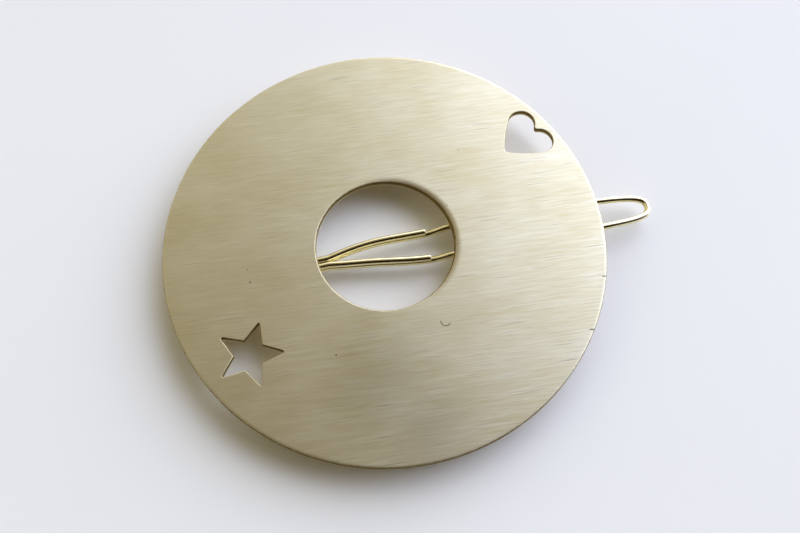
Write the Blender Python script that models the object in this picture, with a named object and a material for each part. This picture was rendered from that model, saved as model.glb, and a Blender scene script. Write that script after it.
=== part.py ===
"""Disc hairpin: a flat brass disc with a round hole, a heart and a star cut out of it.

Behind the disc sits a clip bent from one spring wire. Its upper arm is two legs soldered to the disc,
its tail turns back in two side by side eyes, and its spring arm is a long U that closes on the disc.
The wire is modelled as rigid lengths, parted at the eyes, where the real wire flexes.

Metres, +Z up. X runs along the clip from its tail to its tip, and the disc lies face up.
The origin is the middle of the underside of the bounding box.
"""

import math

import bmesh
import bpy
from mathutils import Vector

# Lengths are written in millimetres and turned to metres by this unit.
MM = 0.001

# The clearance that touching pieces keep, and the play left past the joint's full travel.
CLEARANCE = 0.05 * MM

# Disc, cut from sheet brass.
DISC_RADIUS = 30.0 * MM
DISC_THICKNESS = 1.0 * MM
HOLE_RADIUS = 9.4 * MM
RIM_ROUNDING = 0.4 * MM

# The fine cut-outs have crisper edges than the rim and the hole.
CUTOUT_ROUNDING = 0.14 * MM

# Heart cut-out. Its point looks at the disc's centre.
HEART_ANGLE = math.radians(29.3)
HEART_RIM_MARGIN = 1.0 * MM
HEART_LENGTH = 6.7 * MM
HEART_LOBE_RADIUS = 1.93 * MM
HEART_LOBE_SPACING = 3.9 * MM
HEART_SIDE_RADIUS = 20.0 * MM
HEART_POINT_RADIUS = 0.4 * MM
HEART_NOTCH_RADIUS = 0.25 * MM

# Five-pointed star cut-out. One of its points looks at the rim.
STAR_ANGLE = math.radians(210.7)
STAR_RIM_MARGIN = 2.17 * MM
STAR_POINT_REACH = 4.5 * MM
STAR_NOTCH_REACH = 2.08 * MM
STAR_TIP_RADIUS = 0.1 * MM
STAR_POINTS = 5

# Clip, bent from one spring wire. Its tip shows past the rim, and its tail stops short of it.
WIRE_DIAMETER = 0.9 * MM
CLIP_OFFSET = -0.5 * MM
TAIL_INSET = 7.5 * MM
TIP_REACH = 7.65 * MM
TAIL_EYE_RADIUS = 1.0 * MM
PAIRED_LENGTH = 14.5 * MM
UPPER_ARM_LENGTH = 28.4 * MM
WIDEST_LENGTH = 35.5 * MM
WIDEST_SPACING = 4.15 * MM
SIDE_BOW = 0.36 * MM
SIDE_BOW_LENGTH = 16.5 * MM
CLOSING_LENGTH = 9.0 * MM
RISE_LENGTH = 3.4 * MM
TIP_BEND_LENGTH = 7.0 * MM
TIP_DROP = 0.3 * MM
OPENING_ANGLE = math.radians(10.0)

# In plan each leg follows two Bezier curves: the spread, and then the run round to the tip.
# Their handles are shares of the length, or of the half width, that each curve spans.
SPREAD_START_SHARE = 0.03
SPREAD_END_SHARE = 0.73
TIP_START_SHARE = 0.91
TIP_END_SHARE = 0.96

# Solder fillets along the outer side of each leg, between the tail and the hole.
SOLDER_WIDTH = 0.9 * MM
SOLDER_TAIL_MARGIN = 1.6 * MM
SOLDER_HOLE_MARGIN = 0.9 * MM
SOLDER_END_SHARE = 0.45
SOLDER_SECTIONS = 12

# How finely round shapes are drawn: an arc's height over its chord, and the widest step.
ARC_SAG = 0.005 * MM
ARC_STEP = math.radians(15.0)
ROUNDING_STEPS = 3
FILLET_STEPS = 4
WIRE_STEP = 0.9 * MM
WIRE_BEVEL_RESOLUTION = 4
SHARP_ANGLE = math.radians(40.0)
HALVINGS = 40

# Heights below the disc's face.
WIRE_RADIUS = WIRE_DIAMETER / 2
UPPER_Z = -DISC_THICKNESS - CLEARANCE - WIRE_RADIUS
LOWER_Z = UPPER_Z - WIRE_DIAMETER - CLEARANCE
EYE_Z = UPPER_Z - TAIL_EYE_RADIUS
EYE_BOTTOM_Z = EYE_Z - TAIL_EYE_RADIUS
LOWEST_Z = EYE_BOTTOM_Z - WIRE_RADIUS

# Stations along the clip, from the disc's centre.
TAIL_X = TAIL_INSET - DISC_RADIUS
TIP_X = DISC_RADIUS + TIP_REACH
EYE_X = TAIL_X + WIRE_RADIUS + TAIL_EYE_RADIUS
SPREAD_X = TAIL_X + PAIRED_LENGTH
UPPER_END_X = TAIL_X + UPPER_ARM_LENGTH
WIDEST_X = TAIL_X + WIDEST_LENGTH
TIP_BEND_X = TIP_X - TIP_BEND_LENGTH

# Half of the distance between the two legs' axes.
PAIRED_HALF = WIRE_RADIUS + CLEARANCE / 2
WIDEST_HALF = WIDEST_SPACING / 2

# The eye stops this much short of its half turn, so that the opening spring arm never meets it.
EYE_SLOT_ANGLE = OPENING_ANGLE + CLEARANCE / TAIL_EYE_RADIUS

# The disc's centre. The origin lies under the middle of the bounding box.
DISC_CENTRE = Vector(((DISC_RADIUS - TIP_X) / 2, 0, -LOWEST_Z))


def clear_scene():
    for leftover in list(bpy.data.objects):
        bpy.data.objects.remove(leftover, do_unlink=True)


def make_material(name, colour, roughness):
    """A metal, as a Principled BSDF."""
    material = bpy.data.materials.new(name)
    material.use_nodes = True
    shader = material.node_tree.nodes["Principled BSDF"]
    shader.inputs["Base Color"].default_value = (*colour, 1)
    shader.inputs["Roughness"].default_value = roughness
    shader.inputs["Metallic"].default_value = 1
    return material


def add_object(name, data, material, parent):
    piece = bpy.data.objects.new(name, data)
    piece.parent = parent
    data.materials.append(material)
    bpy.context.scene.collection.objects.link(piece)


def smooth_mesh(name, bm):
    """The finished bmesh as a closed mesh facing out, smooth but for its sharp edges."""
    bmesh.ops.recalc_face_normals(bm, faces=bm.faces)
    if bm.calc_volume(signed=True) < 0:
        bmesh.ops.reverse_faces(bm, faces=bm.faces)
    mesh = bpy.data.meshes.new(name)
    bm.to_mesh(mesh)
    bm.free()
    mesh.shade_smooth()
    mesh.set_sharp_from_angle(angle=SHARP_ANGLE)
    return mesh


def add_empty(name, place, parent):
    empty = bpy.data.objects.new(name, None)
    empty.parent = parent
    empty.location = place
    bpy.context.scene.collection.objects.link(empty)
    return empty


def arc_step(radius):
    """The angle between two points on an arc of this radius."""
    return min(ARC_STEP, 2 * math.acos(1 - ARC_SAG / radius)) if radius > ARC_SAG else ARC_STEP


def arc(centre, radius, start, end):
    """Points on an arc from one angle to the other, both ends included."""
    steps = max(2, math.ceil(abs(end - start) / arc_step(radius)))
    angles = [start + (end - start) * i / steps for i in range(steps + 1)]
    return [Vector((centre[0] + radius * math.cos(a), centre[1] + radius * math.sin(a))) for a in angles]


def circle_outline(radius):
    """A circle with a point on each axis."""
    facets = 4 * math.ceil(math.pi / 2 / arc_step(radius))
    turn = 2 * math.pi / facets
    return [Vector((radius * math.cos(turn * i), radius * math.sin(turn * i))) for i in range(facets)]


def circles_meet(first, first_radius, second, second_radius):
    """Where two circles cross, on the right-hand side of the way from the first centre to the second."""
    way = second - first
    along = (way.length**2 + first_radius**2 - second_radius**2) / (2 * way.length)
    across = math.sqrt(first_radius**2 - along**2)
    forward = way.normalized()
    return first + forward * along + Vector((forward.y, -forward.x)) * across


def angle_between(centre, point):
    return math.atan2(point.y - centre.y, point.x - centre.x)


def heart_outline():
    """The heart as arcs, anticlockwise, its axis on +X: point, side, lobe and notch, then their mirror."""
    half_spacing = HEART_LOBE_SPACING / 2
    lobe_reach = DISC_RADIUS - HEART_RIM_MARGIN - HEART_LOBE_RADIUS
    lobe = Vector((math.sqrt(lobe_reach**2 - half_spacing**2), half_spacing))
    point = Vector((lobe.x + HEART_LOBE_RADIUS - HEART_LENGTH + HEART_POINT_RADIUS, 0))
    notch_rise = math.sqrt((HEART_LOBE_RADIUS + HEART_NOTCH_RADIUS) ** 2 - half_spacing**2)
    notch = Vector((lobe.x + notch_rise, 0))
    side = circles_meet(
        point, HEART_SIDE_RADIUS - HEART_POINT_RADIUS, lobe, HEART_SIDE_RADIUS - HEART_LOBE_RADIUS
    )
    side_start = angle_between(side, point)
    side_end = angle_between(side, lobe)
    notch_side = angle_between(lobe, notch)
    half = arc(point, HEART_POINT_RADIUS, math.pi, side_start)
    half += arc(side, HEART_SIDE_RADIUS, side_start, side_end)[1:]
    half += arc(lobe, HEART_LOBE_RADIUS, side_end, notch_side)[1:]
    half += arc(notch, HEART_NOTCH_RADIUS, notch_side + math.pi, math.pi)[1:]
    mirrored = [Vector((p.x, -p.y)) for p in half[1:-1]]
    return half[::-1] + mirrored


def rounded_corner(before, corner, after, radius):
    """An arc of this radius in place of a corner."""
    to_before = (before - corner).normalized()
    to_after = (after - corner).normalized()
    half_angle = to_before.angle(to_after) / 2
    run = radius / math.tan(half_angle)
    centre = corner + (to_before + to_after).normalized() * radius / math.sin(half_angle)
    start = angle_between(centre, corner + to_before * run)
    turn = angle_between(centre, corner + to_after * run) - start
    turn = (turn + math.pi) % (2 * math.pi) - math.pi
    return arc(centre, radius, start, start + turn)


def star_outline():
    """The star, anticlockwise, one point on +X. Its points are rounded and its notches are sharp."""
    centre = Vector((DISC_RADIUS - STAR_RIM_MARGIN - STAR_POINT_REACH, 0))
    corners = []
    for i in range(2 * STAR_POINTS):
        reach = STAR_NOTCH_REACH if i % 2 else STAR_POINT_REACH
        angle = math.pi * i / STAR_POINTS
        corners.append(centre + Vector((reach * math.cos(angle), reach * math.sin(angle))))
    outline = []
    for i in range(0, len(corners), 2):
        outline += rounded_corner(corners[i - 1], corners[i], corners[i + 1], STAR_TIP_RADIUS)
        outline.append(corners[i + 1])
    return outline


def turned(outline, angle):
    turn = (math.cos(angle), math.sin(angle))
    return [Vector((p.x * turn[0] - p.y * turn[1], p.x * turn[1] + p.y * turn[0])) for p in outline]


def moved_left(outline, distance):
    """The closed outline moved to the left of its own direction, with mitred corners."""
    moved = []
    for i, point in enumerate(outline):
        came = (point - outline[i - 1]).normalized()
        goes = (outline[(i + 1) % len(outline)] - point).normalized()
        came_left = Vector((-came.y, came.x))
        goes_left = Vector((-goes.y, goes.x))
        mitre = (came_left + goes_left).normalized()
        moved.append(point + mitre * distance / mitre.dot(goes_left))
    return moved


def edge_levels(rounding):
    """How far in and how deep each ring of a rounded edge lies, from the disc's face to its back."""
    turns = [math.pi / 2 * i / ROUNDING_STEPS for i in range(ROUNDING_STEPS + 1)]
    face = [(rounding * (1 - math.sin(a)), rounding * (math.cos(a) - 1)) for a in turns]
    back = [(inset, -DISC_THICKNESS - z) for inset, z in reversed(face)]
    return face + back


def add_edge(bm, outline, rounding):
    """One edge of the plate, rounded to its face and its back. Returns its first and last ring's edges."""
    rings = []
    for inset, z in edge_levels(rounding):
        rings.append([bm.verts.new((p.x, p.y, z)) for p in moved_left(outline, inset)])
    for above, below in zip(rings, rings[1:]):
        for i in range(len(outline)):
            bm.faces.new((above[i - 1], below[i - 1], below[i], above[i]))
    ends = (rings[0], rings[-1])
    return [[bm.edges.get((ring[i - 1], ring[i])) for i in range(len(ring))] for ring in ends]


def build_disc(material, parent):
    """The plate. Its rim runs anticlockwise and its cut-outs clockwise, so brass is always on the left."""
    outlines = [
        (circle_outline(DISC_RADIUS), RIM_ROUNDING),
        (circle_outline(HOLE_RADIUS)[::-1], RIM_ROUNDING),
        (turned(heart_outline(), HEART_ANGLE)[::-1], CUTOUT_ROUNDING),
        (turned(star_outline(), STAR_ANGLE)[::-1], CUTOUT_ROUNDING),
    ]
    bm = bmesh.new()
    face_edges, back_edges = [], []
    for outline, rounding in outlines:
        upper, lower = add_edge(bm, outline, rounding)
        face_edges += upper
        back_edges += lower
    bmesh.ops.triangle_fill(bm, use_beauty=True, edges=face_edges)
    bmesh.ops.triangle_fill(bm, use_beauty=True, edges=back_edges)
    add_object("disc", smooth_mesh("disc", bm), material, parent)


def stations(start, end):
    """Evenly spaced distances along the clip, both ends included."""
    steps = max(1, math.ceil((end - start) / WIRE_STEP))
    return [start + (end - start) * i / steps for i in range(steps + 1)]


def eased(share):
    """0 to 1 with level ends."""
    share = min(1, max(0, share))
    return share * share * (3 - 2 * share)


def bezier(start, start_handle, end_handle, end, t):
    return (
        start * (1 - t) ** 3
        + start_handle * 3 * t * (1 - t) ** 2
        + end_handle * 3 * t * t * (1 - t)
        + end * t**3
    )


def side_bow(x):
    """How far both arms bow to the far side at a station, over the stretch before the upper arm's end."""
    share = min(1, max(0, (x - UPPER_END_X) / SIDE_BOW_LENGTH + 1))
    return SIDE_BOW * math.sin(math.pi * share) ** 2


def spread_point(t):
    """A point on the curve that a leg spreads along, from paired to widest."""
    length = WIDEST_X - SPREAD_X
    start = Vector((SPREAD_X, PAIRED_HALF))
    end = Vector((WIDEST_X, WIDEST_HALF))
    start_handle = start + Vector((SPREAD_START_SHARE * length, 0))
    end_handle = end - Vector((SPREAD_END_SHARE * length, 0))
    return bezier(start, start_handle, end_handle, end, t)


def tip_point(t):
    """A point on the curve from where the legs are widest round to the tip."""
    tip_axis_x = TIP_X - WIRE_RADIUS
    start = Vector((WIDEST_X, WIDEST_HALF))
    end = Vector((tip_axis_x, 0))
    start_handle = start + Vector((TIP_START_SHARE * (tip_axis_x - WIDEST_X), 0))
    end_handle = end + Vector((0, TIP_END_SHARE * WIDEST_HALF))
    return bezier(start, start_handle, end_handle, end, t)


def spread_share(x):
    """How far along the spreading curve a station lies, found by halving."""
    low, high = 0, 1
    for _ in range(HALVINGS):
        middle = (low + high) / 2
        if spread_point(middle).x < x:
            low = middle
        else:
            high = middle
    return low


def leg_y(x):
    """How far a leg's axis lies from the clip's middle at a station, before any bow."""
    return spread_point(spread_share(x)).y if x > SPREAD_X else PAIRED_HALF


def curve_points(point, start, end, length):
    """Points along a curve between two shares of it, the first left out."""
    steps = math.ceil(length / WIRE_STEP)
    return [point(start + (end - start) * i / steps) for i in range(1, steps + 1)]


def leg_path(end_x):
    """Where a leg runs in plan from the tail's eye to a station on its spreading stretch."""
    paired = [Vector((x, PAIRED_HALF)) for x in stations(EYE_X, SPREAD_X)]
    return paired + curve_points(spread_point, 0, spread_share(end_x), end_x - SPREAD_X)


def arm_height(x):
    """The spring arm's height: it closes on the upper arm, runs below it, rises to the disc and ends low."""
    closed = eased((x - EYE_X) / CLOSING_LENGTH)
    risen = eased((x - UPPER_END_X) / RISE_LENGTH)
    dropped = eased((x - TIP_BEND_X) / TIP_BEND_LENGTH)
    below_upper_arm = EYE_BOTTOM_Z + (LOWER_Z - EYE_BOTTOM_Z) * closed
    return below_upper_arm + (UPPER_Z - LOWER_Z) * risen - TIP_DROP * dropped


def spring_arm_path():
    """The whole U: out along the far leg, round the tip and back along the near leg."""
    under_upper_leg = leg_path(UPPER_END_X)
    spread_end = spread_share(UPPER_END_X)
    past_upper_leg = curve_points(spread_point, spread_end, 1, WIDEST_X - UPPER_END_X)
    to_tip = curve_points(tip_point, 0, 1, TIP_X - WIDEST_X)
    far_half = under_upper_leg + past_upper_leg + to_tip
    near_half = [Vector((p.x, -p.y)) for p in far_half[-2::-1]]
    return [Vector((p.x, p.y + side_bow(p.x), arm_height(p.x))) for p in far_half + near_half]


def build_wire(name, points, material, parent):
    """A length of the round wire, with flat cut ends."""
    curve = bpy.data.curves.new(name, "CURVE")
    curve.dimensions = "3D"
    curve.bevel_depth = WIRE_RADIUS
    curve.bevel_resolution = WIRE_BEVEL_RESOLUTION
    curve.use_fill_caps = True
    spline = curve.splines.new("POLY")
    spline.use_smooth = True
    spline.points.add(len(points) - 1)
    for place, point in zip(spline.points, points):
        place.co = (*point, 1)
    add_object(name, curve, material, parent)


def build_clip(material, parent):
    """The upper arm's two legs and the tail's two eyes, far side first, and then the spring arm."""
    for side, name in ((1, "far"), (-1, "near")):
        leg = [Vector((p.x, side * p.y + side_bow(p.x), UPPER_Z)) for p in leg_path(UPPER_END_X)]
        leg[0].x += CLEARANCE
        build_wire("upper_leg_" + name, leg, material, parent)
        turn = arc((EYE_X, EYE_Z), TAIL_EYE_RADIUS, math.pi / 2, 3 * math.pi / 2 - EYE_SLOT_ANGLE)
        eye = [Vector((p.x, side * PAIRED_HALF, p.y)) for p in turn]
        build_wire("tail_eye_" + name, eye, material, parent)
    hinge = add_empty("spring_arm_hinge", Vector((EYE_X, 0, EYE_Z)), parent)
    build_wire("spring_arm", [p - hinge.location for p in spring_arm_path()], material, hinge)


def fillet_section(width):
    """Solder's cross-section beside a leg, as distances outwards from its axis and heights."""
    reach = WIRE_RADIUS + CLEARANCE
    top = math.asin(WIRE_RADIUS / reach)
    round_wire = arc((0, UPPER_Z), reach, top, 0)
    foot = Vector((reach + width, -DISC_THICKNESS - CLEARANCE))
    corner = Vector((reach, foot.y))
    side = round_wire[-1]
    steps = [i / FILLET_STEPS for i in range(1, FILLET_STEPS + 1)]
    hollow = [side.lerp(corner, t).lerp(corner.lerp(foot, t), t) for t in steps]
    return round_wire + hollow


def build_solder(name, side, material, parent):
    """A fillet of solder along the outer side of one leg, tapering at both ends."""
    start = EYE_X + SOLDER_TAIL_MARGIN
    end = -HOLE_RADIUS - SOLDER_HOLE_MARGIN
    bm = bmesh.new()
    rings = []
    for i in range(SOLDER_SECTIONS + 1):
        share = i / SOLDER_SECTIONS
        swell = math.sqrt(math.sin(math.pi * share))
        width = SOLDER_WIDTH * (SOLDER_END_SHARE + (1 - SOLDER_END_SHARE) * swell)
        x = start + (end - start) * share
        section = fillet_section(width)
        axis_y = side * leg_y(x) + side_bow(x)
        rings.append([bm.verts.new((x, axis_y + side * p.x, p.y)) for p in section])
    for ring, next_ring in zip(rings, rings[1:]):
        for i in range(len(ring)):
            bm.faces.new((ring[i - 1], ring[i], next_ring[i], next_ring[i - 1]))
    bm.faces.new(rings[0])
    bm.faces.new(rings[-1])
    bmesh.ops.triangulate(bm, faces=bm.faces)
    add_object(name, smooth_mesh(name, bm), material, parent)


def main():
    clear_scene()
    brushed_brass = make_material("brushed_brass", (0.56, 0.46, 0.25), 0.38)
    gilt_wire = make_material("gilt_spring_wire", (0.83, 0.64, 0.27), 0.14)
    silver_solder = make_material("silver_solder", (0.62, 0.58, 0.46), 0.35)
    assembly = add_empty("hairpin", DISC_CENTRE, None)
    build_disc(brushed_brass, assembly)
    clip = add_empty("clip", Vector((0, CLIP_OFFSET, 0)), assembly)
    build_clip(gilt_wire, clip)
    build_solder("solder_fillet_far", 1, silver_solder, clip)
    build_solder("solder_fillet_near", -1, silver_solder, clip)


main()
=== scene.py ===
import math

import bmesh
import bpy
from mathutils import Matrix, Vector, noise


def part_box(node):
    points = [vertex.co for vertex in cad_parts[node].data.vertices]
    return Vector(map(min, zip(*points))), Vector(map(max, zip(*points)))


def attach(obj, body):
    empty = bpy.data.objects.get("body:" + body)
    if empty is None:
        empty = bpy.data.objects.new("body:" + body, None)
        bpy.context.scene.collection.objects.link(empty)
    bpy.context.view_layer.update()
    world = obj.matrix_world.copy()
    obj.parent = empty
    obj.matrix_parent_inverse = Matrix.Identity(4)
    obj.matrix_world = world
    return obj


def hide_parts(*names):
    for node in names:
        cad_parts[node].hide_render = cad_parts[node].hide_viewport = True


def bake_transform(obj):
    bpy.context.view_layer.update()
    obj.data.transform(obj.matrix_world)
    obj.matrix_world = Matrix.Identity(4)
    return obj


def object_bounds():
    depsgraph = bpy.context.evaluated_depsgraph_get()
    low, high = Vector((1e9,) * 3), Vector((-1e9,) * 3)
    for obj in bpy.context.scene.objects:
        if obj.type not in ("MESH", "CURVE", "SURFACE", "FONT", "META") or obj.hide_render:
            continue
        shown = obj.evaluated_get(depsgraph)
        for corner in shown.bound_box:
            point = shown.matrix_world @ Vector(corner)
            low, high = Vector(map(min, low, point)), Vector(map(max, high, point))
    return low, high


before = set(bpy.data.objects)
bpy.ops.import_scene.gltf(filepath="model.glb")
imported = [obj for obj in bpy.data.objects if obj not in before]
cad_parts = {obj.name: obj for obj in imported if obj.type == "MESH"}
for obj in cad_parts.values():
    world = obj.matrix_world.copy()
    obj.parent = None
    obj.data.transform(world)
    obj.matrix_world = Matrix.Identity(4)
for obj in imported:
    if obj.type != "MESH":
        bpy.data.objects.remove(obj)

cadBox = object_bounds()
mm = 0.001
mergeDistance = 0.001 * mm

# places that the other pieces start from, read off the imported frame
discLow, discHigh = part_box("disc")
discRadius = (discHigh.x - discLow.x) / 2
discThickness = discHigh.z - discLow.z
discCentre = Vector(((discLow.x + discHigh.x) / 2, (discLow.y + discHigh.y) / 2, discHigh.z))
legLow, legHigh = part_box("upper_leg_far")
wireRadius = (legHigh.z - legLow.z) / 2


# camera

camera = {
    "lens": 41.4,
    "sensorWidth": 36,
    "nearClip": 10,                        # mm
    "place": (-8.03, -47.83, 114.80),      # mm from the middle of the disc's face
    "tilt": -21.52,                        # degrees away from looking straight down
    "roll": 0.41,
    "turn": 10.85,                         # of the clip, above the picture's horizontal
}


def placeCamera():
    data = bpy.data.cameras.new("camera")
    data.lens = camera["lens"]
    data.sensor_width = camera["sensorWidth"]
    data.clip_start = camera["nearClip"] * mm
    obj = bpy.data.objects.new("camera", data)
    turn = Matrix.Rotation(math.radians(camera["turn"]), 3, "Z")
    tilt = Matrix.Rotation(math.radians(camera["tilt"]), 3, "X")
    roll = Matrix.Rotation(math.radians(camera["roll"]), 3, "Y")
    place = discCentre + Vector(camera["place"]) * mm
    obj.matrix_world = Matrix.Translation(place) @ (roll @ tilt @ turn).inverted().to_4x4()
    bpy.context.scene.collection.objects.link(obj)
    bpy.context.scene.camera = obj


# what the materials share

def linear(hexColour):
    parts = [int(hexColour[i:i + 2], 16) / 255 for i in (1, 3, 5)]
    return (*(p / 12.92 if p <= 0.04045 else ((p + 0.055) / 1.055) ** 2.4 for p in parts), 1)


def setInputs(node, inputs):
    # an input is a number, a colour, a socket, or a node, which gives its first output in use
    for key, value in inputs.items():
        if isinstance(value, bpy.types.Node):
            value = next(output for output in value.outputs if output.enabled)
        if isinstance(value, bpy.types.NodeSocket):
            node.id_data.links.new(value, node.inputs[key])
        else:
            node.inputs[key].default_value = value


def addNode(tree, kind, inputs=None, **settings):
    node = tree.nodes.new("ShaderNode" + kind)
    for name, value in settings.items():
        setattr(node, name, value)
    setInputs(node, inputs or {})
    return node


def newMaterial(name):
    material = bpy.data.materials.new(name)
    material.use_nodes = True
    return material, material.node_tree


def inMillimetres(tree, centre=(0, 0, 0), turn=0.0, scale=(1, 1, 1)):
    # the piece's own coordinates in mm from one of its points, turned and then stretched
    coords = addNode(tree, "TexCoord").outputs["Object"]
    moved = addNode(tree, "VectorMath", {0: coords, 1: tuple(centre)}, operation="SUBTRACT")
    turned = addNode(tree, "Mapping", {"Vector": moved, "Rotation": (0, 0, turn), "Scale": (1 / mm,) * 3})
    return addNode(tree, "Mapping", {"Vector": turned, "Scale": scale})


def twoTone(tree, look, pattern):
    return addNode(tree, "Mix", {0: pattern, 6: linear(look["dark"]), 7: linear(look["light"])},
                   data_type="RGBA")


def sway(tree, base, pattern, amount):
    # the base, raised and lowered by a pattern that runs from 0 to 1
    centred = addNode(tree, "Math", {0: pattern, 1: 0.5}, operation="SUBTRACT")
    return addNode(tree, "Math", {0: centred, 1: amount, 2: base}, operation="MULTIPLY_ADD")


def tinted(tree, colour, mask, share, tint):
    # the colour, turned by a share towards a tint where the mask is 1
    amount = addNode(tree, "Math", {0: mask, 1: share}, operation="MULTIPLY")
    return addNode(tree, "Mix", {0: amount, 6: colour, 7: linear(tint)}, data_type="RGBA")


def spot(tree, place, centre, solid, size, strength=1.0):
    # full strength up to the solid distance from a centre, fading to nothing at the size
    away = addNode(tree, "VectorMath", {0: place, 1: (*centre, 0)}, operation="DISTANCE")
    return addNode(tree, "MapRange", {"Value": away, "From Min": size, "From Max": solid,
                                      "To Max": strength}, interpolation_type="SMOOTHSTEP")


def strongest(tree, masks):
    total = masks[0]
    for mask in masks[1:]:
        total = addNode(tree, "Math", {0: total, 1: mask}, operation="MAXIMUM")
    return total


def relief(tree, *parts):
    # the sum of patterns, each with its height in mm, as a height in metres
    total = 0.0
    for pattern, height in parts:
        total = addNode(tree, "Math", {0: pattern, 1: height * mm, 2: total}, operation="MULTIPLY_ADD")
    return total


def finishMetal(tree, colour, roughness, height, others=None):
    bump = addNode(tree, "Bump", {"Strength": 1.0, "Distance": 1.0, "Height": height})
    setInputs(tree.nodes["Principled BSDF"], {"Base Color": colour, "Roughness": roughness, "Normal": bump,
                                              "Metallic": 1.0, **(others or {})})


# what the pieces share

def edgesOf(verts):
    # each edge once, in the vertices' order
    return list(dict.fromkeys(e for v in verts for e in v.link_edges))


def makePiece(name, bm, materials, sharpAngle):
    for face in bm.faces:
        face.smooth = True
    openEdges = sum(len(e.link_faces) != 2 for e in bm.edges)
    mesh = bpy.data.meshes.new(name)
    bm.to_mesh(mesh)
    bm.free()
    mesh.set_sharp_from_angle(angle=math.radians(sharpAngle))
    for material in materials:
        mesh.materials.append(material)
    piece = bpy.data.objects.new(name, mesh)
    bpy.context.scene.collection.objects.link(piece)
    print(name, len(mesh.polygons), "faces,", openEdges, "open edges")
    return piece


# brass of the disc

grain = {
    "angle": math.radians(-2.6),     # brushing direction against the clip
    "uv": "grain",
}

# sheet brass, brushed by hand along one direction and lacquered: a satin sheen that is wide across the
# grain and narrow along it, with fine light and dark streaks and a faint veil from the lacquer
brushedFace = {
    "light": "#E2DDBC",
    "dark": "#CABE8A",
    "cloudWidth": 7.0,         # mm, of the uneven tone left by handling
    "cloudLength": 11.2,
    "cloudDetail": 3,
    "streakWidth": 0.15,       # mm; the real scratches are 0.04 mm wide, drawn wider so that they show
    "streakLength": 4.0,
    "streakDetail": 3,         # octaves of its pattern
    "streakRoughness": 0.65,
    "bandWidth": 0.5,          # mm, of the broader passes of the brush
    "bandLength": 9.0,
    "scratchWidth": 0.14,      # mm, of the sparse deeper scratches that hold a dark line
    "scratchLength": 8.0,
    "scratchScale": 1.3,
    "scratchDetail": 1,
    "scratchFrom": 0.58,       # where the scratches' pattern starts to darken, and where it is full
    "scratchTo": 0.72,
    "scratchBands": (0.4, 0.6),      # they gather in the brush's lighter passes
    "scratchTone": 0.46,
    "scratchColour": "#6E5F38",
    "streakDepth": 0.0016,     # mm
    "bandDepth": 0.0014,
    "streakTone": 1.4,         # how strongly streaks, bands and clouds lighten and darken the brass
    "bandTone": 0.9,
    "cloudTone": 1.1,
    "tailSide": 0.6,           # strength of the brushing at the tail's side of the face
    "tipSide": 1.2,            # and at the tip's side
    "roughness": 0.36,
    "roughnessSpread": 0.10,
    "anisotropic": 0.55,
    "coat": 1.0,
    "coatRoughness": 0.45,
}

# the back of the same sheet: brushed more coarsely, warmer in tone and with little lacquer
brushedBack = {
    **brushedFace,
    "light": "#F6E3AC",
    "dark": "#E0C985",
    "streakWidth": 0.22,
    "streakDepth": 0.0018,
    "roughness": 0.42,
    "coat": 0.3,
}

# marks on the face, in mm from its middle, with their size
marks = {
    "hook": (5.76, -12.24, 0.62),              # a curved scratch, as an arc of this radius
    "hookWidth": 0.11,
    "hookSolid": 0.3,                          # share of its width that is full
    "hookSide": (-0.42, -0.91),                # the way its arc bulges
    "hookFade": 0.25,                          # share of the radius over which its ends fade
    "specks": ((-9.1, -14.05, 0.19), (-18.67, -1.99, 0.2), (-18.8, -0.19, 0.13), (12.81, 12.3, 0.13),
               (9.47, 4.15, 0.13)),
    "speckTone": 0.8,
    "nicks": ((28.0, -10.07), (24.38, -16.97)),      # fine cuts across the rounded rim and onto the face
    "nickTurn": math.radians(11),
    "nickWidth": 0.16,
    "nickLength": 1.1,
    "solidShare": 0.4,                         # share of a speck's or nick's size that is full
    "tone": 0.8,
    "colour": "#4A3A1C",
    "depth": 0.003,
    "edgeColour": "#2E2412",                   # of the nicks where they cut the rounded edge
    "edgeDepth": 0.03,
    "stains": ((-4.4, -18.0, 11.0), (1.0, -25.0, 8.0)),      # soft darker patches left by handling
    "stainTone": 0.24,
    "stainColour": "#7A7048",
    "wornWidth": 0.9,                          # mm of the face beside the hole that is browned as painted shade
    "holeShadeSpread": 0.8,                         # share of the hole's radius over which that side sets in
    "wornTone": 0.6,
    "holeShadeColour": "#8C6A34",
}


def onFace(tree):
    # place on the disc in mm from its middle, at any depth
    return inMillimetres(tree, discCentre, scale=(1, 1, 0))


def brushing(tree, length, width, scale=1.0, detail=2.0, roughness=0.5):
    # a pattern drawn out along the grain
    place = inMillimetres(tree, discCentre, -grain["angle"], (1 / length, 1 / width, 1 / width))
    return addNode(tree, "TexNoise", {"Vector": place, "Scale": scale, "Detail": detail,
                                      "Roughness": roughness})


def nickMarks(tree):
    # each nick is a short stroke across the rim, nearly along the clip
    found = []
    for x, y in marks["nicks"]:
        place = inMillimetres(tree, discCentre + Vector((x, y, 0)) * mm, marks["nickTurn"],
                              (2 / marks["nickLength"], 1 / marks["nickWidth"], 0))
        found.append(spot(tree, place, (0, 0), marks["solidShare"], 1))
    return strongest(tree, found)


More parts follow.
